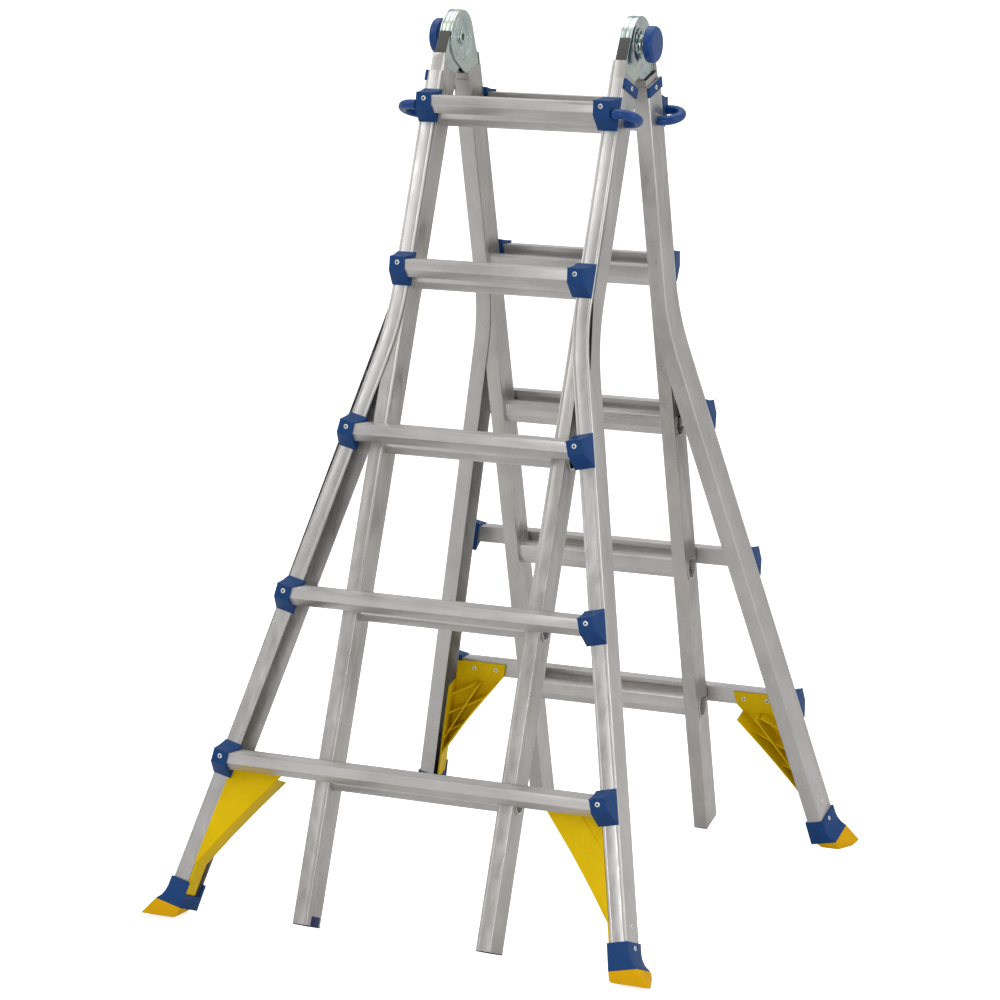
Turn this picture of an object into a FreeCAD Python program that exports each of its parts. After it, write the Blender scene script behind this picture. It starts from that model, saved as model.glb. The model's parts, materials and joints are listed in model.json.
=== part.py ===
import FreeCAD, Part
import math
import os
from FreeCAD import Placement, Rotation, Vector

# Multi-position telescoping ladder standing as a step ladder.
#
# Four ladder sections hang on two disc hinges: a front pair and a rear pair, each made of an
# inner section that carries the hinges and an outer section that sleeves over it and flares
# out to the feet.  Every section is modelled in its own section frame and then placed:
#   x  across the ladder
#   t  outwards from the plane in which front and rear sections meet when folded flat
#   s  down the rails from the hinge axis
# The rear half is the front half turned half a revolution about the vertical.
# The origin is on the floor, midway between the four feet, +Z up, front towards -Y.

# ---- driving dimensions, mm and degrees ---------------------------------------------------
LEAN = 18.2                 # lean of each section from the vertical
HINGE_Z = 1564.0            # height of the hinge axis
PITCH = 304.8               # rung spacing, 12 inches
RUNGS = 5                   # rungs in each section
FIRST_RUNG = 149.6          # hinge axis to the first rung's rivet, along the rail
RIVET_T = 108.0             # rung rivets, out from the folding plane

OUTER_TOP = 84.0            # top end of the outer rails
OUTER_END = 1622.0          # lower end of the outer rails, inside the boots
OUTER_HALF = 171.3          # centre of ladder to the line of rung rivets, parallel part
FLARE = 13.0                # outward flare of the lower part of the outer rails
BEND_S = 552.0              # where the two straight lines of the rail would meet
BEND_R = 620.0              # radius of the bend, at the line of rung rivets
RAIL_OUT = 21.7             # rivet line to the outer face of the rail
RAIL_IN = 8.3               # rivet line to the free edge of the rail's flanges
RAIL_T0, RAIL_T1 = 1.5, 65.5
RAIL_WALL = 2.2

INNER_X0, INNER_X1 = 161.8, 189.0
INNER_T0, INNER_T1 = 4.6, 62.4
INNER_WALL = 1.8
INNER_TOP = 72.0            # top end of the inner rails
INNER_END = 1640.0          # lower end of the inner rails
INNER_RUNG_T = 33.5         # centre of the inner rungs
INNER_RUNG_DROP = 8.0       # how far they sit below the outer rungs' rivets
SWAGE = 1.4                 # flared end of an inner rung, proud of its rail

RUNG_BACK_T = 68.0          # back face of the outer rungs
RUNG_WALL = 2.0
RUNG_TOP, RUNG_WAIST, RUNG_FOOT = 6.0, -12.0, -26.5   # heights about the rivet
RUNG_NOSE, RUNG_SLOPE = -1.6, 13.0  # nose behind the rivet's seat, lower face's run back
RUNG_PAST_RIVET = 10.0      # rung end beyond its rivet, inside the bracket
BLOCK_NOSE = (-14.0, 14.7)  # bracket's front face, either side of the rivet
BLOCK_ROOT = (-15.3, 21.7)  # the same where it meets the rail
BLOCK_TOP, BLOCK_WAIST = 10.5, -15.2    # heights of the bracket's front face
BLOCK_ROOT_TOP, BLOCK_ROOT_FOOT = 15.5, -44.0

DISC_R = 50.0               # hinge discs
LEAF_S = 71.0               # where the hinge leaves reach the rails
STRAP = 58.0                # length of the leaves inside the rails
TONGUE_S = 50.0             # top of the rails' front walls, beside the hinge leaves
FRONT_PLATES = ((167.4, 175.2), (183.8, 187.0))   # plates of the front leaf, across
REAR_PLATES = ((163.8, 167.0), (175.6, 183.4))    # plates of the rear leaf, between them
REAR_DISC_R = 49.4
STRIP_S = (5.6, 49.6)       # cover strip on the front leaf's edge
HUB_R = 11.0
RUNNING_FIT = 0.05
KNOB_R = 33.0
KNOB_X0, KNOB_X1 = 201.0, 218.5
STEM_R = 6.0

HANDLE_R = 8.8              # thickness of the lock handles, radius
HANDLE_T0, HANDLE_T1 = 33.5, 92.5
HANDLE_OUT = 3.0            # straight part of a handle's legs
PIN_R, PIN_HOLE_R = 5.0, 6.5
GUIDE_R, GUIDE_BORE_R = 5.0, 6.0

BOOT_S = 1593.0             # level of a boot's top edge on the rivet line
BOOT_H = 48.0               # height of a boot along the flared rail
BOOT_SPREAD = 14.0          # how far its outer side spreads
GUSSET_WIDTH = 104.0        # along the bottom rung

SIN, COS = math.sin(math.radians(LEAN)), math.cos(math.radians(LEAN))
TAN_FLARE = math.tan(math.radians(FLARE))
COS_FLARE = math.cos(math.radians(FLARE))
FRONT = Placement(Vector(0, 0, HINGE_Z), Rotation(Vector(1, 0, 0), -LEAN))
REAR = Placement(Vector(), Rotation(Vector(0, 0, 1), 180)).multiply(FRONT)
X_AXIS, Y_AXIS, Z_AXIS = Vector(1, 0, 0), Vector(0, 1, 0), Vector(0, 0, 1)
OUTWARD = Vector(0, -1, 0)  # direction of t in the section frame
DOWN = Vector(0, 0, -1)     # direction of s in the section frame


# ---- small geometry helpers ---------------------------------------------------------------
def at(x, t, s):
    """A point of the section frame."""
    return Vector(x, -t, -s)


def level(t, s, forward, up):
    """Steps from (t, s) taken horizontally outwards and vertically, as the ladder stands."""
    return t + forward * COS + up * SIN, s + forward * SIN - up * COS


def prism(points, along):
    return Part.Face(Part.makePolygon(points + points[:1])).extrude(along)


def prism_x(outline, x0, x1):
    return prism([at(x0, t, s) for t, s in outline], Vector(x1 - x0, 0, 0))


def prism_t(outline, t0, t1):
    return prism([at(x, t0, s) for x, s in outline], OUTWARD * (t1 - t0))


def prism_s(outline, s0, s1):
    return prism([at(x, t, s0) for x, t in outline], DOWN * (s1 - s0))


def box(x, t, s):
    return prism_s([(x[0], t[0]), (x[1], t[0]), (x[1], t[1]), (x[0], t[1])], s[0], s[1])


def rod_x(radius, x0, x1, t, s):
    return Part.makeCylinder(radius, x1 - x0, at(x0, t, s), X_AXIS)


def rod_t(radius, t0, t1, x, s):
    return Part.makeCylinder(radius, t1 - t0, at(x, t0, s), OUTWARD)


def mirrored(shape):
    return shape.mirror(Vector(), X_AXIS)


def solids(shapes):
    """Separate solids kept side by side in one node."""
    return Part.makeCompound([solid for shape in shapes for solid in shape.Solids])


def fused(shapes):
    return shapes[0].multiFuse(shapes[1:]).removeSplitter()


def rung_s(number):
    return FIRST_RUNG + (number - 1) * PITCH


def flared(s):
    return s > BEND_S


def rivet_x(s):
    """Distance from the ladder's centre to the line of rung rivets at level s."""
    return OUTER_HALF + max(0.0, s - BEND_S) * TAN_FLARE


def on_flare(shape, s):
    """Turns a shape built about the origin into the flared part of the right rail."""
    turned = shape.rotated(Vector(), Y_AXIS, -FLARE)
    return turned.translated(at(rivet_x(s), 0, s))


# ---- rails --------------------------------------------------------------------------------
def outer_rail_section():
    """C-section open towards the ladder's centre, with fine lines drawn along its front."""
    outer, inner, corner = RAIL_OUT, -RAIL_IN, 2.0
    lines, line_w, line_d = (outer - 5.5, inner + 5.0), 0.9, 0.5
    side_line = RAIL_T1 - 8.0
    front = []
    for line_x in lines:
        front += [(line_x + line_w, RAIL_T1), (line_x + line_w, RAIL_T1 - line_d),
                  (line_x, RAIL_T1 - line_d), (line_x, RAIL_T1)]
    return [
        (inner, RAIL_T0), (outer - corner, RAIL_T0), (outer, RAIL_T0 + corner),
        (outer, side_line - line_w), (outer - line_d, side_line - line_w),
        (outer - line_d, side_line), (outer, side_line),
        (outer, RAIL_T1 - corner), (outer - corner, RAIL_T1)] + front + [
        (inner, RAIL_T1), (inner, RAIL_T1 - RAIL_WALL),
        (outer - RAIL_WALL, RAIL_T1 - RAIL_WALL), (outer - RAIL_WALL, RAIL_T0 + RAIL_WALL),
        (inner, RAIL_T0 + RAIL_WALL),
    ]


def outer_rail():
    """Right outer rail: straight, bent outwards over a large radius, straight again."""
    tangent = BEND_R * math.tan(math.radians(FLARE / 2))
    bend_top = BEND_S - tangent
    section = [(OUTER_HALF + x, t) for x, t in outer_rail_section()]
    upper = prism_s(section, OUTER_TOP, bend_top)
    corners = [at(x, t, bend_top) for x, t in section]
    face = Part.Face(Part.makePolygon(corners + corners[:1]))
    centre = at(OUTER_HALF + BEND_R, 0, bend_top)
    bend = face.revolve(centre, -Y_AXIS, FLARE)
    end_face = face.rotated(centre, -Y_AXIS, FLARE)
    length = (OUTER_END - BEND_S) / COS_FLARE - tangent
    slope = math.radians(FLARE)
    lower = end_face.extrude(Vector(math.sin(slope), 0, -math.cos(slope)) * length)
    rail = fused([upper, bend, lower])
    return rail.cut(rod_x(PIN_HOLE_R, RAIL_FACE - 5, RAIL_FACE + 5, HANDLE_T0, LOCK_S))


def inner_rail():
    """Right inner rail: a rectangular tube, its front wall run up beside the hinge leaf."""
    tube = box((INNER_X0, INNER_X1), (INNER_T0, INNER_T1), (INNER_TOP, INNER_END))
    tongue = box((INNER_X0 + 1, INNER_X1 - 1), (INNER_T1 - INNER_WALL, INNER_T1),
                 (TONGUE_S, INNER_TOP + 4))
    hollow = box(
        (INNER_X0 + INNER_WALL, INNER_X1 - INNER_WALL),
        (INNER_T0 + INNER_WALL, INNER_T1 - INNER_WALL), (INNER_TOP - 1, INNER_END + 1))
    line_x, line_w, line_d = INNER_X0 + 5.0, 1.0, 0.5
    line = box((line_x, line_x + line_w), (INNER_T1 - line_d, INNER_T1 + 1),
               (TONGUE_S - 1, INNER_END + 1))
    window = box((INNER_X0 - 1, INNER_X0 + INNER_WALL + 0.5), PLUG_T, PLUG_S)
    rail = tube.cut(hollow).fuse(tongue).removeSplitter()
    rail = rail.cut(line).cut(window)
    for number in range(1, RUNGS + 1):
        rail = rail.cut(prism_x(inner_rung_outline(number), INNER_X0 - 1, INNER_X1 + 5))
    return rail


def end_plug():
    """Glide in the lower end of the right inner rail, showing through the rail's window."""
    gap = 0.1
    body = box(
        (INNER_X0 + INNER_WALL, INNER_X1 - INNER_WALL),
        (INNER_T0 + INNER_WALL, INNER_T1 - INNER_WALL), (INNER_END - 40, INNER_END))
    core = box((INNER_X0 + 6, INNER_X1 - 6), (INNER_T0 + 6, INNER_T1 - 6),
               (INNER_END - 41, INNER_END - 4))
    lip = box((INNER_X0, INNER_X1), (INNER_T0, INNER_T1), (INNER_END, INNER_END + 1.6))
    tab = box((INNER_X0, INNER_X0 + INNER_WALL), (PLUG_T[0] + gap, PLUG_T[1] - gap),
              (PLUG_S[0] + gap, PLUG_S[1]))
    return fused([body, lip, tab]).cut(core)


# ---- rungs --------------------------------------------------------------------------------
def outer_rung_outline(number):
    """Level tread, upright nose and a lower face that slants back."""
    s = rung_s(number)
    top_front = level(RIVET_T, s, RUNG_NOSE, RUNG_TOP)
    waist_front = level(RIVET_T, s, RUNG_NOSE, RUNG_WAIST)
    foot_front = level(RIVET_T, s, RUNG_NOSE - RUNG_SLOPE, RUNG_FOOT)
    back = RUNG_BACK_T
    foot_back = (back, foot_front[1] - (foot_front[0] - back) * SIN / COS)
    top_back = (back, top_front[1] - (top_front[0] - back) * SIN / COS)
    return [top_front, waist_front, foot_front, foot_back, top_back]


def hollowed(outline, wall, x0, x1):
    """A tube along x: the outline's prism less the same prism drawn in by the wall."""
    face = Part.Face(Part.makePolygon([at(x0, t, s) for t, s in outline + outline[:1]]))
    inside = face.makeOffset2D(-wall)
    return face.cut(Part.Face(inside.Wires[0])).extrude(Vector(x1 - x0, 0, 0))


def outer_rung(number):
    outline = outer_rung_outline(number)
    half = rivet_x(rung_s(number)) + RUNG_PAST_RIVET
    rung = hollowed(outline, RUNG_WALL, -half, half)
    top_front, top_back = outline[0], outline[-1]
    grooves, width, depth = 5, 1.6, 0.8
    for step in range(grooves):
        share = 0.18 + 0.15 * step
        t = top_front[0] + (top_back[0] - top_front[0]) * share
        s = top_front[1] + (top_back[1] - top_front[1]) * share
        corners = [level(t, s, 0, 1), level(t, s, 0, -depth), level(t, s, -width, -depth),
                   level(t, s, -width, 1)]
        rung = rung.cut(prism_x(corners, -half - 1, half + 1))
    return rung


def inner_rung_outline(number, grow=0.0):
    """Level top and upright sides, drawn in below to a narrow foot."""
    s = rung_s(number) + INNER_RUNG_DROP
    corners = [(15, 20), (19, 15), (19, -6), (9, -20), (-9, -20), (-19, -6), (-19, 15), (-15, 20)]
    scale = 1.0 + grow / 20.0
    return [level(INNER_RUNG_T, s, f * scale, h * scale) for f, h in corners]


def inner_rung(number):
    """A tube through both inner rails, its ends swaged over the rails' outer walls."""
    rung = hollowed(inner_rung_outline(number), RUNG_WALL, -INNER_X1, INNER_X1)
    ring = hollowed(inner_rung_outline(number, 1.8), RUNG_WALL + 1.6, INNER_X1, INNER_X1 + SWAGE)
    return fused([rung, ring, mirrored(ring)])


# ---- brackets, gussets, feet and guides ---------------------------------------------------
def bracket_outline():
    """Side view about the rivet: level top, upright front, lower face slanting to the rail."""
    steps = [(0.0, BLOCK_TOP), (0.0, BLOCK_WAIST)]
    front = [level(RIVET_T, 0, forward, up) for forward, up in steps]
    middle = level(RIVET_T, 0, -26.0, BLOCK_TOP + 1.0)
    roots = []
    for up in (BLOCK_ROOT_FOOT, BLOCK_ROOT_TOP):
        forward = (RAIL_T1 - RIVET_T - up * SIN) / COS
        roots.append(level(RIVET_T, 0, forward, up))
    return front + roots + [middle]


def rung_bracket(number):
    """Right end bracket: a block over the rung's end that widens down to the rail."""
    s = rung_s(number)
    x = rivet_x(s)
    reach = 90.0
    block = prism_x(bracket_outline(), BLOCK_ROOT[0], BLOCK_ROOT[1])
    for nose, root, far in zip(BLOCK_NOSE, BLOCK_ROOT, (-reach, reach)):
        side = [(nose, RIVET_T + 3), (root, RAIL_T1 + 3), (far, RAIL_T1 + 3), (far, RIVET_T + 3)]
        block = block.cut(prism_s(side, -reach, reach))
    block = on_flare(block, s) if flared(s) else block.translated(at(x, 0, s))
    block = block.cut(prism_x(outer_rung_outline(number), x - 60, x + RUNG_PAST_RIVET))
    if number == 1:
        block = block.cut(rod_x(GUIDE_BORE_R, x, x + 40, HANDLE_T1, LOCK_S))
    return block


def rivet(x, t, s, forward=True, radius=4.6):
    """Hollow rivet head lying on a face that looks along t, or along x."""
    height, hole, depth = 1.3, 1.9, 0.9
    if forward:
        head = rod_t(radius, t, t + height, x, s)
        dome = [e for e in head.Edges if abs(e.CenterOfMass.y + t + height) < 0.01]
        head = head.makeChamfer(0.7, dome)
        return head.cut(rod_t(hole, t + height - depth, t + height + 1, x, s))
    head = rod_x(radius, x, x + height, t, s)
    dome = [e for e in head.Edges if abs(e.CenterOfMass.x - x - height) < 0.01]
    head = head.makeChamfer(0.7, dome)
    return head.cut(rod_x(hole, x + height - depth, x + height + 1, t, s))


def gusset():
    """Right brace under the bottom rung: a plate, a deep rim, ribs and a foot in the boot."""
    s_rung = rung_s(RUNGS)
    top, under, bottom = s_rung - 14.0, s_rung + 14.0, BOOT_S - 33.0
    plate_t0, plate_t1, rim_t0, wall = RUNG_BACK_T - 4.0, RUNG_BACK_T, 26.0, 3.0
    edge = RAIL_IN / COS_FLARE + 0.2

    def rail_x(s):
        return rivet_x(s) - edge

    a = at(rail_x(top), 0, top)
    b = at(rail_x(top) - GUSSET_WIDTH, 0, top)
    b_low = at(rail_x(under) - GUSSET_WIDTH, 0, under)
    c = at(rail_x(bottom) - wall, 0, bottom)
    d = at(rail_x(bottom), 0, bottom)
    middle_s = s_rung + 111.0
    middle = at(rail_x(middle_s) - 45.0, 0, middle_s)
    curve = Part.Arc(b_low, middle, c).toShape()
    wire = Part.Wire([Part.makeLine(a, b), Part.makeLine(b, b_low), curve,
                      Part.makeLine(c, d), Part.makeLine(d, a)])
    face = Part.Face(wire)
    plate = face.translated(OUTWARD * plate_t0).extrude(OUTWARD * (plate_t1 - plate_t0))
    recess_deep = 1.6
    recess = prism_t([(rail_x(under) - 44, under - 5), (rail_x(under) + 9, under - 5),
                      (rail_x(under + 78) + 9, under + 78)], plate_t1 - recess_deep, plate_t1 + 1)
    inset = Part.Face(face.makeOffset2D(-wall).Wires[0])
    deep = face.translated(OUTWARD * rim_t0).extrude(OUTWARD * (plate_t0 - rim_t0))
    rim = face.cut(inset).translated(OUTWARD * rim_t0).extrude(OUTWARD * (plate_t0 - rim_t0))
    behind_rung = box((0, 600), (0, plate_t0), (top - 5, under + 12.0))
    ribs = []
    for step in range(3):
        s0 = s_rung + 72.0 + 44.0 * step
        x0 = rail_x(s0)
        rib = prism_t([(x0 + 30, s0), (x0 - 150, s0 - 95), (x0 - 150, s0 - 92), (x0 + 30, s0 + 3)],
                      40.0, plate_t0)
        ribs.append(rib.common(deep))
    stiffener = prism_t([(rail_x(under) - 66, under), (rail_x(under) - 63, under),
                         (rail_x(under + 150) + 3, under + 150), (rail_x(under + 150), under + 150)],
                        34.0, plate_t0).common(deep)
    foot = on_flare(prism_t([(-RAIL_IN - 3.4, -42), (-RAIL_IN - 0.2, -42), (-RAIL_IN - 0.2, 22),
                             (-RAIL_IN - 3.4, 22)], rim_t0, plate_t0), BOOT_S)
    deep_pieces = [piece.cut(behind_rung) for piece in [rim, foot, stiffener] + ribs]
    return fused([plate] + deep_pieces).cut(recess).cut(rung_bracket(RUNGS))


def gusset_rivets():
    s = rung_s(RUNGS) - 1.0
    x = rivet_x(s) - RAIL_IN
    back = RUNG_BACK_T - 4.0
    heads = [rivet(x - across, 0, s).rotated(at(x - across, 0, s), Z_AXIS, 180) for across in (38, 86)]
    return [head.translated(OUTWARD * back) for head in heads]


def below_floor():
    """What the treads must not reach into: the floor, and a rise at their inner and front edges."""
    deep, far = 60.0, 900.0
    across = [(380, -deep), (380, 30), (410, 12), (430, 0), (540, 0), (540, -deep)]
    along = [(-558, 0), (-610, 15), (-610, -deep), (-558, -deep)]
    inner_rise = prism([Vector(x, -far, z) for x, z in across], Y_AXIS * far)
    front_rise = prism([Vector(0, y, z) for y, z in along], X_AXIS * far)
    shape = inner_rise.fuse(front_rise)
    shape.Placement = FRONT.inverse()
    return shape


def boot():
    """Right boot: a socket over the rail's end, spreading outwards at the bottom."""
    out, back, front = RAIL_OUT + 2.6, 0.5, RAIL_T1 + 3.5
    inn = -RAIL_IN - 5.0
    outline = [(inn, 0), (out, 0), (out, 20), (out + 1.5, 28), (out + 5.5, 38),
               (out + BOOT_SPREAD, BOOT_H), (inn - 1, BOOT_H)]
    body = prism_t(outline, back, front)
    socket = prism_t([(-RAIL_IN, -1), (RAIL_OUT, -1), (RAIL_OUT, SOCKET_H), (-RAIL_IN, SOCKET_H)],
                     RAIL_T0, RAIL_T1)
    notch = prism_t([(inn - 5, -1), (-RAIL_IN, -1), (-RAIL_IN, 23), (inn - 5, 23)], 9.0, 65.0)
    return on_flare(body.cut(socket).cut(notch), BOOT_S)


def tread():
    """Right foot tread: a wedge between the boot's lower face and the floor, with a toe."""
    out = RAIL_OUT + 2.6 + BOOT_SPREAD
    inn = -RAIL_IN - 6.0
    back, front = 0.5, RAIL_T1 + 4.5
    toe, toe_back = 58.0, 40.0
    outline = [(inn, BOOT_H), (out, BOOT_H), (toe, BOOT_H + 39), (toe - 3, BOOT_H + 60),
               (inn + 3, BOOT_H + 60)]
    body = prism_t(outline, back, front)
    beyond = [(toe, front), (toe_back, back), (toe + 40, back), (toe + 40, front)]
    body = body.cut(prism_s(beyond, 0, 200))
    return on_flare(body, BOOT_S).cut(below_floor())


def rail_guide():
    """Right strap on the side of the outer rail's top end, hooked over both corners."""
    x0, x1 = RAIL_FACE - 3.0, RAIL_FACE + 2.6
    s0, s1 = OUTER_TOP, OUTER_TOP + 19.0
    outer = box((x0, x1), (0.5, RAIL_T1 + 1.2), (s0, s1))
    inner = box((x0 - 1, RAIL_FACE), (RAIL_T0, RAIL_T1), (s0 - 1, s1 + 1))
    edges = [e for e in outer.Edges if e.CenterOfMass.x > x1 - 0.01
             and abs(e.Vertexes[0].Z - e.Vertexes[-1].Z) > 5]
    return outer.makeChamfer(1.0, edges).cut(inner)


def outer_section_rivets():
    heads = []
    for number in range(1, RUNGS + 1):
        s = rung_s(number)
        head = rivet(0, RIVET_T, 0).rotated(at(0, RIVET_T, 0), X_AXIS, LEAN)
        heads.append(on_flare(head, s) if flared(s) else head.translated(at(rivet_x(s), 0, s)))
    heads += gusset_rivets()
    heads.append(rivet(RAIL_FACE + 2.6, INNER_RUNG_T, OUTER_TOP + 9.5, forward=False))
    foot_rivets = [rivet(RAIL_OUT + 2.6, RAIL_T1 / 2, 10, forward=False)]
    foot_rivets.append(rivet(RAIL_OUT, RAIL_T1 / 2, -28, forward=False))
    heads += [on_flare(head, BOOT_S) for head in foot_rivets]
    return heads


# ---- locks between inner and outer sections -----------------------------------------------
def lock_handle():
    """Right lock handle: a D loop, one leg in the top bracket and one over the lock pin."""
    radius = (HANDLE_T1 - HANDLE_T0) / 2
    x0 = RAIL_FACE + 1.2
    x1 = x0 + HANDLE_OUT
    leg_x0 = RAIL_FACE - 1.8
    middle = (HANDLE_T0 + HANDLE_T1) / 2
    front_leg = rod_x(HANDLE_R, leg_x0, x1, HANDLE_T1, LOCK_S)
    rear_leg = rod_x(HANDLE_R, x0, x1, HANDLE_T0, LOCK_S)
    ring = Part.makeTorus(radius, HANDLE_R, at(x1, middle, LOCK_S), Z_AXIS)
    loop = ring.common(box((x1, x1 + 60), (-20, 130), (LOCK_S - 20, LOCK_S + 20)))
    guide_rod = rod_x(GUIDE_R, RAIL_FACE - 27, leg_x0, HANDLE_T1, LOCK_S)
    bore = rod_x(PIN_R, x0 - 1, x0 + 8, HANDLE_T0, LOCK_S)
    return fused([front_leg, loop, rear_leg, guide_rod]).cut(bore)


def lock_pin():
    """Steel pin of the right lock, held in the handle and carried by the rail's wall."""
    x_tip = RAIL_FACE - RAIL_WALL
    return rod_x(PIN_R, x_tip, RAIL_FACE + 9.2, HANDLE_T0, LOCK_S)


# ---- hinges -------------------------------------------------------------------------------
def tangent_point(t, s, radius, side):
    """Where the tangent from (t, s) touches a circle about the hinge axis."""
    heading = math.atan2(t, s)
    spread = math.acos(radius / math.hypot(t, s))
    angle = heading + side * spread
    return radius * math.sin(angle), radius * math.cos(angle)


def leaf_outline(radius):
    """Straight sides of a leaf, from its disc down to the top of its rail."""
    front, back = (INNER_T1 - 2.4, LEAF_S), (0.5, LEAF_S)
    return [(0.0, 0.0), tangent_point(*front, radius, 1), front, back,
            tangent_point(*back, radius, -1)]


def teardrop(radius, x0, x1):
    disc = rod_x(radius, x0, x1, 0, 0)
    return disc.fuse(prism_x(leaf_outline(radius), x0, x1)).removeSplitter()


def arc_groove(x0, x1, r0, r1, start, sweep):
    """A C-shaped channel about the hinge axis, angles measured from straight down the rail."""
    points = []
    steps = 24
    for radius, order in ((r0, range(steps + 1)), (r1, range(steps, -1, -1))):
        for step in order:
            angle = math.radians(start + sweep * step / steps)
            points.append((radius * math.sin(angle), radius * math.cos(angle)))
    return prism_x(points, x0, x1)


def leaf_plate(radius, plate):
    """One plate of a leaf: its disc, its straight sides and the strap inside the rail."""
    x0, x1 = plate
    strap_t = (INNER_T0 + INNER_WALL + 0.2, INNER_T1 - INNER_WALL - 0.2)
    strap = box((x0, x1), strap_t, (LEAF_S - 1, LEAF_S + STRAP))
    return teardrop(radius, x0, x1).fuse(strap).removeSplitter()


def embossed(plate, outer_x):
    """Pressed rings and crescents on the face of a plate that shows."""
    depth = 0.8
    x0, x1 = outer_x - depth, outer_x + depth
    for r0, r1, start, sweep in ((37.0, 39.2, 10, 340), (15.5, 23.5, 35, 110), (15.5, 23.5, 215, 110)):
        plate = plate.cut(arc_groove(x0, x1, r0, r1, start, sweep))
    return plate


def strap_tie(plates):
    """Spacer between the straps of one leaf, well below the discs."""
    return box((plates[0][1], plates[1][0]), (14, 52), (LEAF_S + 20, LEAF_S + STRAP))


def hinge_front_leaf():
    """Front leaf: an inner plate and the outer cheek, running down inside the front rail."""
    inner = leaf_plate(DISC_R, FRONT_PLATES[0])
    outer = embossed(leaf_plate(DISC_R, FRONT_PLATES[1]), FRONT_PLATES[1][1])
    leaf = fused([inner, outer, strap_tie(FRONT_PLATES)])
    return leaf.cut(rod_x(HUB_R, FRONT_PLATES[0][0] - 1, FRONT_PLATES[1][1] + 1, 0, 0))


def hinge_rear_leaf():
    """Rear leaf: the inner cheek and a plate that turns between those of the front leaf."""
    inner = embossed(leaf_plate(REAR_DISC_R, REAR_PLATES[0]), REAR_PLATES[0][0])
    outer = leaf_plate(REAR_DISC_R, REAR_PLATES[1])
    leaf = fused([inner, outer, strap_tie(REAR_PLATES)])
    return leaf.cut(rod_x(HUB_R + RUNNING_FIT, REAR_PLATES[0][0] - 1, REAR_PLATES[1][1] + 1, 0, 0))


def hinge_edge_strip():
    """Dark cover strip lying on the front edges of the front leaf's plates."""
    thick, x0, x1 = 1.5, FRONT_PLATES[0][0] - 2.0, FRONT_PLATES[1][1] - 0.8
    tangent, front = leaf_outline(DISC_R)[1:3]
    lean = (front[0] - tangent[0]) / (front[1] - tangent[1])
    inner = [(tangent[0] + (s - tangent[1]) * lean, s) for s in STRIP_S]
    outline = inner + [(t + thick, s) for t, s in reversed(inner)]
    return prism_x(outline, x0, x1)


def hinge_axle():
    """Hub riveted through the plates, bored for the release knob's stem."""
    inner, outer = REAR_PLATES[0][0], FRONT_PLATES[1][1]
    body = rod_x(HUB_R, inner, outer, 0, 0)
    collar = rod_x(HUB_R + 3, outer, outer + 2.2, 0, 0)
    head = rod_x(HUB_R + 3, inner - 1.8, inner - 0.4, 0, 0)
    neck = rod_x(HUB_R, inner - 0.4, inner, 0, 0)
    return fused([body, collar, neck, head]).cut(rod_x(STEM_R + 0.35, inner - 5, outer + 5, 0, 0))


def hinge_retainer():
    """Pressed cross that holds the release spring against the outer cheek."""
    x0 = FRONT_PLATES[1][1]
    arms = []
    for angle in (35, 125):
        arm = box((x0, x0 + 2.4), (-7, 7), (-26, 26))
        arms.append(arm.rotated(Vector(), X_AXIS, angle))
    ring = rod_x(18, x0, x0 + 4.2, 0, 0)
    return fused(arms + [ring]).cut(rod_x(HUB_R + 3.2, x0 - 1, x0 + 9, 0, 0))


def hinge_knob():
    """Domed push knob with its stem."""
    knob = rod_x(KNOB_R, KNOB_X0, KNOB_X1, 0, 0)
    front = [e for e in knob.Edges if e.CenterOfMass.x > KNOB_X1 - 0.01]
    knob = knob.makeFillet(6.5, front)
    rear = [e for e in knob.Edges if abs(e.CenterOfMass.x - KNOB_X0) < 0.01]
    knob = knob.makeFillet(3.0, rear)
    stem = rod_x(STEM_R, REAR_PLATES[0][0] + 12, KNOB_X0, 0, 0)
    return fused([knob, stem])


# ---- values worked out from the dimensions above ------------------------------------------
RAIL_FACE = OUTER_HALF + RAIL_OUT
LOCK_S = FIRST_RUNG + INNER_RUNG_DROP
PLUG_T = (INNER_T0 + 6.0, INNER_T0 + 42.0)
PLUG_S = (INNER_END - 17.0, INNER_END)
SOCKET_H = (OUTER_END - BOOT_S) / COS_FLARE


# ---- assembly -----------------------------------------------------------------------------
def write(name, shape, place):
    placed = shape.copy()
    placed.Placement = place.multiply(placed.Placement)
    bad = [solid for solid in placed.Solids if not solid.isValid()]
    print("%-28s solids %2d  volume %10.0f  %s" % (
        name, len(placed.Solids), placed.Volume, "BAD" if bad or not placed.Solids else "ok"))
    placed.exportStep("parts/" + name + ".step")


def sides(end):
    """World side of a section's own right-hand and left-hand pieces."""
    return ("right", "left") if end == "front" else ("left", "right")


def write_pair(end, name, shape, place):
    own, other = sides(end)
    write("%s_%s_%s" % (end, name, own), shape, place)
    write("%s_%s_%s" % (end, name, other), mirrored(shape), place)


def write_group(end, name, shapes, place):
    both = shapes + [mirrored(shape) for shape in shapes]
    write("%s_%s" % (end, name), solids(both), place)


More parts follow.
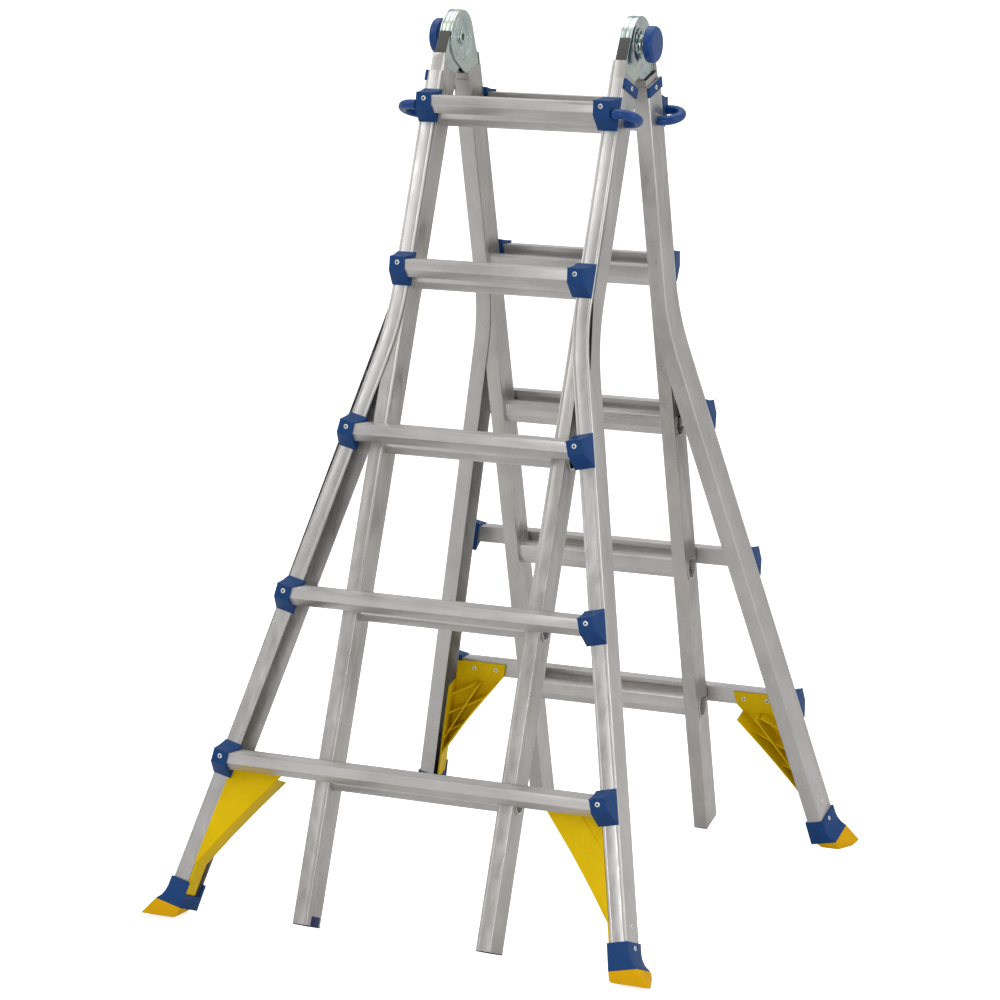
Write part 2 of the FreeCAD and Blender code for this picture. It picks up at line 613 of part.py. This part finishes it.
def main():
    os.makedirs("parts", exist_ok=True)
    for end, place in (("front", FRONT), ("rear", REAR)):
        write_pair(end, "outer_rail", outer_rail(), place)
        write_pair(end, "inner_rail", inner_rail(), place)
        for number in range(1, RUNGS + 1):
            write("%s_outer_rung_%d" % (end, number), outer_rung(number), place)
        rungs = [inner_rung(number) for number in range(1, RUNGS + 1)]
        write(end + "_inner_rungs", solids(rungs), place)
        write_group(end, "rung_brackets", [rung_bracket(n) for n in range(1, RUNGS + 1)], place)
        write_group(end, "inner_end_plugs", [end_plug()], place)
        write_group(end, "rail_guides", [rail_guide()], place)
        write_group(end, "rivets", outer_section_rivets(), place)
        write_pair(end, "gusset", gusset(), place)
        write_pair(end, "boot", boot(), place)
        write_pair(end, "tread", tread(), place)
        write_pair(end, "lock_handle", lock_handle(), place)
        write_pair(end, "lock_pin", lock_pin(), place)
    pieces = {"front_leaf": hinge_front_leaf(), "edge_strip": hinge_edge_strip(),
              "axle": hinge_axle(), "retainer": hinge_retainer(), "knob": hinge_knob()}
    for name, shape in pieces.items():
        write("hinge_%s_right" % name, shape, FRONT)
        write("hinge_%s_left" % name, mirrored(shape), FRONT)
    write("hinge_rear_leaf_left", hinge_rear_leaf(), REAR)
    write("hinge_rear_leaf_right", mirrored(hinge_rear_leaf()), REAR)


main()
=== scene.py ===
import json
import math

import bmesh
import bpy
from mathutils import Matrix, Vector


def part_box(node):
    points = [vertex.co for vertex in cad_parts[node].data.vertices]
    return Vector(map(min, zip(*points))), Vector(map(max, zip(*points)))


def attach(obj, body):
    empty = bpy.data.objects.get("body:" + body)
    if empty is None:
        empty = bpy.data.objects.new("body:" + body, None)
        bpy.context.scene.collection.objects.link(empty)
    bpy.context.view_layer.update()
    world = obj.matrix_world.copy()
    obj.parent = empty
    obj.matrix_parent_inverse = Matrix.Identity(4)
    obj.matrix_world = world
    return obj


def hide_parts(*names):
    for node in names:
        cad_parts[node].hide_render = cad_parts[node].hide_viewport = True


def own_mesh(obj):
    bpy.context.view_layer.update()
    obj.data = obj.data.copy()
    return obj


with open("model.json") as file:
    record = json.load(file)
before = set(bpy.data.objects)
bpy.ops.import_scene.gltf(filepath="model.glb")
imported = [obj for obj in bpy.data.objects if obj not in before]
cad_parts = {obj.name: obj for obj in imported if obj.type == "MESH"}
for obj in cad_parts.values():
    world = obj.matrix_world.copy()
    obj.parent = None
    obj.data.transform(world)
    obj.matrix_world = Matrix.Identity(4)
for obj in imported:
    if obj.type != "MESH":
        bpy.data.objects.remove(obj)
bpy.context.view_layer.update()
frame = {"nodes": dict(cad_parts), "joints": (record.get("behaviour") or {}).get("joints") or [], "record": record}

# A telescoping multi-position ladder standing as a step ladder.
# Pieces are built in the section frame of the half they belong to, in metres:
#   x  across the ladder, t  outwards from the folding plane, s  down the rails from the hinge
NODES = frame["nodes"]
JOINTS = {joint["name"]: joint for joint in frame["joints"]}
HINGE = Vector(JOINTS["hinge_fold"]["pos_m"])
LEAN = math.atan2(*JOINTS["front_extend"]["axis"][1:])
SIN, COS = math.sin(LEAN), math.cos(LEAN)
SLOT_OF = {part["node"]: part["material_slot"] for part in frame["record"]["subparts"]}
BODY_OF = {n: body for body, nodes in frame["record"]["behaviour"]["bodies"].items() for n in nodes}
MM = 0.001

CAMERA_PLACE = Vector((2.48262, -5.99511, 1.70974))
CAMERA_TURN = Vector((1.419017, -0.030223, 0.405895))
FOCAL_PER_SIDE = 3.547747       # focal length in picture sides

EDGE_SEGMENTS = 3
EDGE_ANGLE = math.radians(28.0)     # an edge that turns more than this is rounded
SHARP_ANGLE = math.radians(36.0)    # one that then still turns more than this is shaded sharp
FLAT_ANGLE = math.radians(1.0)      # faces that meet at less than this become one
WELD = 0.02 * MM            # corners closer than this become one
TUBE_CORNER = 2.2 * MM      # corner radius of the inner rails
RIVET_SHADE_REACH = 2.0 * MM       # reach of a rivet's sunk middle about its axis, where shade is painted
FINE_RELIEF = 0.2 * MM      # depth of the grain in every finish
KNOB_THICK = 17.5 * MM      # from a release knob's outer face to the back of its head


# ---- materials ----------------------------------------------------------------------------
class Nodes:
    """Short names for building one material's node tree."""

    def __init__(self, name):
        self.material = bpy.data.materials.new(name)
        self.material.use_nodes = True
        self.tree = self.material.node_tree
        self.shader = self.tree.nodes["Principled BSDF"]

    def add(self, kind):
        return self.tree.nodes.new("ShaderNode" + kind)

    def link(self, source, target):
        self.tree.links.new(source, target)

    def coordinates(self, scale):
        """The piece's own coordinates, stretched."""
        position = self.add("TexCoord")
        mapping = self.add("Mapping")
        mapping.inputs["Scale"].default_value = scale
        self.link(position.outputs["Object"], mapping.inputs["Vector"])
        return mapping.outputs["Vector"]

    def noise(self, scale, size, detail=4.0, rough=0.55):
        noise = self.add("TexNoise")
        noise.inputs["Scale"].default_value = size
        noise.inputs["Detail"].default_value = detail
        noise.inputs["Roughness"].default_value = rough
        self.link(self.coordinates(scale), noise.inputs["Vector"])
        return noise.outputs["Fac"]

    def ramp(self, source, stops):
        ramp = self.add("ValToRGB")
        points = ramp.color_ramp.elements
        while len(points) < len(stops):
            points.new(0.5)
        for point, (place, colour) in zip(points, stops):
            point.position = place
            point.color = (*colour, 1.0)
        self.link(source, ramp.inputs["Fac"])
        return ramp.outputs["Color"]

    def span(self, source, low, high, start=0.3, end=0.7):
        """Stretches the part of source between start and end to run from low to high."""
        span = self.add("MapRange")
        for name, value in (("From Min", start), ("From Max", end), ("To Min", low), ("To Max", high)):
            span.inputs[name].default_value = value
        self.link(source, span.inputs["Value"])
        return span.outputs["Result"]

    def mix(self, share, first, second, blend="MIX"):
        mix = self.add("Mix")
        mix.data_type = "RGBA"
        mix.blend_type = blend
        slots = {"share": mix.inputs[0], "first": mix.inputs[6], "second": mix.inputs[7]}
        for key, value in (("share", share), ("first", first), ("second", second)):
            if isinstance(value, bpy.types.NodeSocket):
                self.link(value, slots[key])
            else:
                slots[key].default_value = value if key == "share" else (*value, 1.0)
        return mix.outputs[2]

    def bump(self, height, strength):
        bump = self.add("Bump")
        bump.inputs["Strength"].default_value = strength
        bump.inputs["Distance"].default_value = FINE_RELIEF
        self.link(height, bump.inputs["Height"])
        self.link(bump.outputs["Normal"], self.shader.inputs["Normal"])

    def set(self, **values):
        for key, value in values.items():
            self.shader.inputs[key.replace("_", " ")].default_value = value


def aluminium(name, along, tone, rough):
    """Mill-finish extrusion: fine die lines along the piece, soft stains and rubbed patches."""
    n = Nodes(name)
    across = tuple(2.0 if a else 320.0 for a in along)
    lines = n.noise(across, 2.2, 5.0, 0.65)
    blotches = n.noise((1, 1, 1), 9.0, 5.0, 0.6)
    rubs = n.noise(tuple(4.0 if a else 60.0 for a in along), 1.4, 3.0)
    dark = tuple(c * 0.80 for c in tone)
    base = n.ramp(blotches, [(0.30, dark), (0.62, tone)])
    lined = n.mix(n.span(lines, 0.0, 0.30), base, tuple(c * 0.66 for c in tone))
    n.link(n.mix(n.span(rubs, 0.0, 0.35, 0.5, 0.8), lined, tuple(min(1, c * 1.12) for c in tone)),
           n.shader.inputs["Base Color"])
    n.link(n.span(rubs, rough - 0.06, rough + 0.12), n.shader.inputs["Roughness"])
    n.set(Metallic=0.88, Anisotropic=0.35)
    n.bump(lines, 0.18)
    return n.material


def plastic(name, colour, worn, rough, grain, coat=0.0, shine=0.22):
    """Moulded plastic: fine spark-eroded grain, faint flow marks and scuffed patches."""
    n = Nodes(name)
    grains = n.noise((1, 1, 1), grain, 3.0)
    flow = n.noise((1, 1, 1), 22.0, 4.0, 0.6)
    scuffs = n.noise((30, 30, 30), 3.0, 8.0, 0.75)
    toned = n.ramp(flow, [(0.3, tuple(c * 0.88 for c in colour)), (0.7, colour)])
    n.link(n.mix(n.span(scuffs, 0.0, 0.45, 0.60, 0.78), toned, worn), n.shader.inputs["Base Color"])
    n.link(n.span(scuffs, rough, rough + 0.16, 0.45, 0.75), n.shader.inputs["Roughness"])
    n.set(Specular_IOR_Level=shine, Coat_Weight=coat, Coat_Roughness=0.25)
    n.bump(grains, 0.22)
    return n.material


def zinc(name, tone, rough):
    """Zinc-plated pressed steel: cool bright metal with faint bluish and yellow clouding."""
    n = Nodes(name)
    clouds = n.noise((1, 1, 1), 38.0, 5.0, 0.6)
    grain = n.noise((1, 1, 1), 900.0, 3.0)
    base = n.ramp(clouds, [(0.28, (tone[0] * 0.72, tone[1] * 0.80, tone[2] * 0.86)),
                           (0.5, tone), (0.75, (tone[0], tone[1] * 0.97, tone[2] * 0.86))])
    n.link(base, n.shader.inputs["Base Color"])
    n.link(n.span(clouds, rough - 0.05, rough + 0.10), n.shader.inputs["Roughness"])
    n.set(Metallic=1.0)
    n.bump(grain, 0.10)
    return n.material


ALONG_RAIL, ALONG_X = (False, False, True), (True, False, False)
MATERIALS = {
    "outer_rail": aluminium("mill_aluminium_outer", ALONG_RAIL, (0.535, 0.525, 0.51), 0.33),
    "inner_rail": aluminium("mill_aluminium_inner", ALONG_RAIL, (0.51, 0.49, 0.47), 0.31),
    "rung": aluminium("mill_aluminium_rung", ALONG_X, (0.57, 0.555, 0.54), 0.31),
    "blue_plastic": plastic("blue_moulding", (0.001, 0.040, 0.155), (0.02, 0.08, 0.21), 0.52, 1500),
    "navy_plastic": plastic("navy_moulding", (0.006, 0.010, 0.085), (0.03, 0.04, 0.12), 0.50, 1300),
    "blue_handle": plastic("blue_handle", (0.001, 0.042, 0.19), (0.02, 0.08, 0.25), 0.34, 700, 0.2),
    "yellow_plastic": plastic("yellow_moulding", (0.68, 0.455, 0.0), (0.60, 0.41, 0.01), 0.45, 900,
                              shine=0.08),
    "tread_rubber": plastic("amber_tread", (0.62, 0.33, 0.0), (0.45, 0.26, 0.02), 0.60, 1100,
                            shine=0.08),
    # painted shade: a near-black colour for the sunk middles of the rivet heads
    "painted_rivet_shade": plastic("painted_rivet_shade", (0.012, 0.012, 0.012), (0.03, 0.03, 0.03), 0.7, 1500),
    "zinc_plate": zinc("zinc_plate", (0.56, 0.63, 0.60), 0.20),
    "dark_strip": plastic("dark_strip", (0.075, 0.075, 0.07), (0.12, 0.12, 0.11), 0.5, 1300),
    "rivet": zinc("rivet_steel", (0.74, 0.75, 0.74), 0.20),
    "pin_steel": zinc("pin_steel", (0.62, 0.62, 0.62), 0.25),
}


# ---- building pieces ----------------------------------------------------------------------
def section_matrix(end):
    """Takes (x, t, s) of one half of the ladder to the row frame."""
    y = -1.0 if end == "front" else 1.0
    return Matrix(((1, 0, 0, HINGE.x), (0, y * COS, y * SIN, HINGE.y), (0, SIN, -COS, HINGE.z),
                   (0, 0, 0, 1)))


def finish_piece(obj, node):
    """Gives a finished piece the material and body of the CAD node it stands for."""
    slot = SLOT_OF[node]
    obj.data.materials.clear()
    obj.data.materials.append(MATERIALS[slot])
    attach(obj, BODY_OF[node])
    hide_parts(node)


def softened(node, width):
    """A copy of a CAD node with clean faces and rounded edges, shown in its place."""
    mesh = NODES[node].data.copy()
    mesh.name = "shape_" + node
    obj = bpy.data.objects.new("piece_" + node, mesh)
    bpy.context.scene.collection.objects.link(obj)
    bm = bmesh.new()
    bm.from_mesh(mesh)
    bmesh.ops.remove_doubles(bm, verts=bm.verts, dist=WELD)
    bmesh.ops.dissolve_limit(bm, angle_limit=FLAT_ANGLE, verts=bm.verts, edges=bm.edges,
                             delimit={"NORMAL"})
    bmesh.ops.recalc_face_normals(bm, faces=bm.faces)
    if "inner_rail" in node:
        round_tube(bm, node.split("_")[0], TUBE_CORNER)
    bm.to_mesh(mesh)
    bm.free()
    round_edges(obj, width)
    finish_piece(obj, node)
    return obj


def paint_rivet_shade(obj, reach):
    """Paints shade into the sunk middle of each rivet head as a near-black finish: all within reach of its axis.
    """
    obj.data.materials.append(MATERIALS["painted_rivet_shade"])
    bm = bmesh.new()
    bm.from_mesh(obj.data)
    waiting = set(bm.faces)
    while waiting:
        head, fresh = set(), [waiting.pop()]
        while fresh:
            face = fresh.pop()
            head.add(face)
            beside = {other for side in face.edges for other in side.link_faces} & waiting
            waiting -= beside
            fresh += beside
        base = max(head, key=lambda face: face.calc_area())
        middle, axis = base.calc_center_median(), base.normal.copy()
        for face in head - {base}:
            offsets = [vert.co - middle for vert in face.verts]
            if all((offset - offset.dot(axis) * axis).length < reach for offset in offsets):
                face.material_index = 1
    bm.to_mesh(obj.data)
    bm.free()


def round_tube(bm, end, radius):
    """Rounds the four outer corners of an inner rail along its whole length."""
    to_section = section_matrix(end).inverted()
    places = {vert: to_section @ vert.co for vert in bm.verts}
    lows = [min(place[i] for place in places.values()) for i in range(2)]
    highs = [max(place[i] for place in places.values()) for i in range(2)]
    corners = []
    shortest, straight, close = 20 * MM, 0.1 * MM, 0.2 * MM
    for edge in bm.edges:
        first, second = (places[vert] for vert in edge.verts)
        along = abs(first.z - second.z) > shortest and (first.xy - second.xy).length < straight
        outside = all(min(abs(first[i] - lows[i]), abs(first[i] - highs[i])) < close for i in range(2))
        if along and outside:
            corners.append(edge)
    bmesh.ops.bevel(bm, geom=corners, offset=radius, segments=4, profile=0.5, affect="EDGES",
                    clamp_overlap=True)


def round_edges(obj, width):
    """Rounds a piece's edges in its mesh and sets its shading."""
    bevel = obj.modifiers.new("edges", "BEVEL")
    bevel.width = width
    bevel.segments = EDGE_SEGMENTS
    bevel.limit_method = "ANGLE"
    bevel.angle_limit = EDGE_ANGLE
    bevel.use_clamp_overlap = True
    bevel.miter_outer = "MITER_ARC"
    bpy.context.view_layer.update()
    evaluated = obj.evaluated_get(bpy.context.evaluated_depsgraph_get())
    shape = bpy.data.meshes.new_from_object(evaluated)
    obj.modifiers.clear()
    obj.data = shape
    shape.shade_smooth()
    shape.set_sharp_from_angle(angle=SHARP_ANGLE)


# width of the rounding along each finish's edges, in mm
EDGE_WIDTH = {
    "outer_rail": 0.5, "inner_rail": 0.5, "rung": 0.4, "blue_plastic": 0.9, "blue_handle": 0.4,
    "navy_plastic": 0.6, "yellow_plastic": 0.9, "tread_rubber": 1.6, "zinc_plate": 0.5,
    "dark_strip": 0.6, "rivet": 0.25, "pin_steel": 0.4,
}
for node in sorted(NODES):
    piece = softened(node, EDGE_WIDTH[SLOT_OF[node]] * MM)
    if SLOT_OF[node] == "rivet":
        # paints shade into each rivet head's sunk middle
        paint_rivet_shade(piece, RIVET_SHADE_REACH)


# ---- release springs ----------------------------------------------------------------------
def release_spring(side):
    """Wire coil between a hinge's pressed cross and its knob, as it sits at rest."""
    wire, coil, turns = 0.9 * MM, 15.5 * MM, 3.5    # wire radius, coil radius
    per_turn, around = 28, 8
    joint = JOINTS["release_knob_" + side]
    retainer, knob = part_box("hinge_retainer_" + side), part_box("hinge_knob_" + side)
    outwards = 1.0 if joint["axis"][0] < 0 else -1.0
    seat = max(abs(retainer[0][0]), abs(retainer[1][0])) + wire
    free = max(abs(knob[0][0]), abs(knob[1][0])) - KNOB_THICK - wire
    steps = int(turns * per_turn)
    verts, faces = [], []
    for step in range(steps + 1):
        turn = 2 * math.pi * step / per_turn
        x = seat + (free - seat) * min(1.0, max(0.0, (step - per_turn / 2) / (steps - per_turn)))
        for spoke in range(around):
            angle = 2 * math.pi * spoke / around
            radius = coil + wire * math.cos(angle)
            verts.append((outwards * (x + wire * math.sin(angle)), HINGE.y + radius * math.cos(turn),
                          HINGE.z + radius * math.sin(turn)))
    for step in range(steps):
        for spoke in range(around):
            following = (spoke + 1) % around
            faces.append((step * around + spoke, step * around + following,
                          (step + 1) * around + following, (step + 1) * around + spoke))
    faces += [tuple(range(around)), tuple(range(steps * around, (steps + 1) * around))]
    mesh = bpy.data.meshes.new("release_spring_" + side)
    mesh.from_pydata(verts, [], faces)
    mesh.shade_smooth()
    mesh.materials.append(MATERIALS["pin_steel"])
    spring = bpy.data.objects.new("release_spring_" + side, mesh)
    bpy.context.scene.collection.objects.link(spring)
    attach(spring, "front_inner")
    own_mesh(spring)


for side in ("left", "right"):
    release_spring(side)


# ---- studio -------------------------------------------------------------------------------
def floor_material():
    """Nearly white where it is looked at, and duller in what it throws back at the ladder."""
    seen, lit, glow, faint_glow = 0.82, 0.66, 0.75, 0.10
    n = Nodes("pale_floor")
    mottled = n.noise((1, 1, 1), 3.0, 3.0)
    shown = n.ramp(mottled, [(0.3, (seen * 0.985,) * 3), (0.7, (seen,) * 3)])
    ray = n.add("LightPath").outputs["Is Camera Ray"]
    n.link(n.mix(ray, (lit,) * 3, shown), n.shader.inputs["Base Color"])
    n.link(n.span(ray, faint_glow, glow, 0.0, 1.0), n.shader.inputs["Emission Strength"])
    n.set(Roughness=0.7, Specular_IOR_Level=0.1, Emission_Color=(1, 1, 1, 1))
    return n.material


def shade_world(tree):
    """Even light all round, darker low down behind the camera."""
    background = tree.nodes["Background"]
    direction = tree.nodes.new("ShaderNodeTexCoord")
    aim = tree.nodes.new("ShaderNodeVectorMath")
    aim.operation = "DOT_PRODUCT"
    darkest = (0.36, -0.90, -0.22)
    aim.inputs[1].default_value = darkest
    tree.links.new(direction.outputs["Generated"], aim.inputs[0])
    ramp = tree.nodes.new("ShaderNodeValToRGB")
    low, high = ramp.color_ramp.elements
    low.position, low.color = 0.35, (0.80, 0.80, 0.80, 1)
    high.position, high.color = 0.95, (0.34, 0.34, 0.35, 1)
    tree.links.new(aim.outputs["Value"], ramp.inputs["Fac"])
    tree.links.new(ramp.outputs["Color"], background.inputs["Color"])
    background.inputs["Strength"].default_value = 1.0


def area_light(name, place, target, size, power):
    light = bpy.data.lights.new(name, "AREA")
    light.shape = "RECTANGLE"
    light.size, light.size_y = size
    light.energy = power
    lamp = bpy.data.objects.new(name, light)
    lamp.location = place
    lamp.rotation_euler = (Vector(target) - Vector(place)).to_track_quat("-Z", "Y").to_euler()
    bpy.context.scene.collection.objects.link(lamp)


def studio():
    """A pale sweep under and behind the ladder, lit from the left, front, right and above."""
    half, deep, rise, radius, steps = 14.0, 6.0, 9.0, 3.0, 20
    profile = [(-half, 0.0), (deep, 0.0)]
    for step in range(1, steps + 1):
        angle = math.pi / 2 * step / steps
        profile.append((deep + radius * math.sin(angle), radius * (1 - math.cos(angle))))
    profile.append((deep + radius, rise))
    verts = [(x, y, z) for x in (-half, half) for y, z in profile]
    count = len(profile)
    faces = [(i, i + 1, count + i + 1, count + i) for i in range(count - 1)]
    mesh = bpy.data.meshes.new("sweep")
    mesh.from_pydata(verts, [], faces)
    mesh.shade_smooth()
    sweep = bpy.data.objects.new("studio_sweep", mesh)
    sweep.rotation_euler.z = CAMERA_TURN.z
    bpy.context.scene.collection.objects.link(sweep)
    mesh.materials.append(floor_material())

    world = bpy.data.worlds.new("studio")
    world.use_nodes = True
    shade_world(world.node_tree)
    bpy.context.scene.world = world

    area_light("key", (-3.6, -3.4, 4.4), (0, 0, 0.8), (3.0, 3.0), 55)
    area_light("front", (1.2, -6.5, 1.5), (0, 0, 0.8), (2.0, 1.2), 85)
    area_light("side", (5.2, -0.6, 2.2), (0, 0, 0.8), (3.0, 4.0), 62)
    area_light("top", (0.0, 0.6, 5.4), (0, 0, 0.6), (4.5, 4.5), 100)


def camera():
    """The view that the ladder is shown from."""
    lens = bpy.data.cameras.new("view")
    lens.sensor_fit, lens.sensor_width = "AUTO", 36.0
    lens.lens = FOCAL_PER_SIDE * lens.sensor_width
    lens.clip_end = 100.0
    seat = bpy.data.objects.new("view", lens)
    seat.location = CAMERA_PLACE
    seat.rotation_euler = CAMERA_TURN
    bpy.context.scene.collection.objects.link(seat)
    bpy.context.scene.camera = seat


studio()
camera()
bpy.context.scene.view_settings.view_transform = "Standard"

bpy.context.view_layer.update()
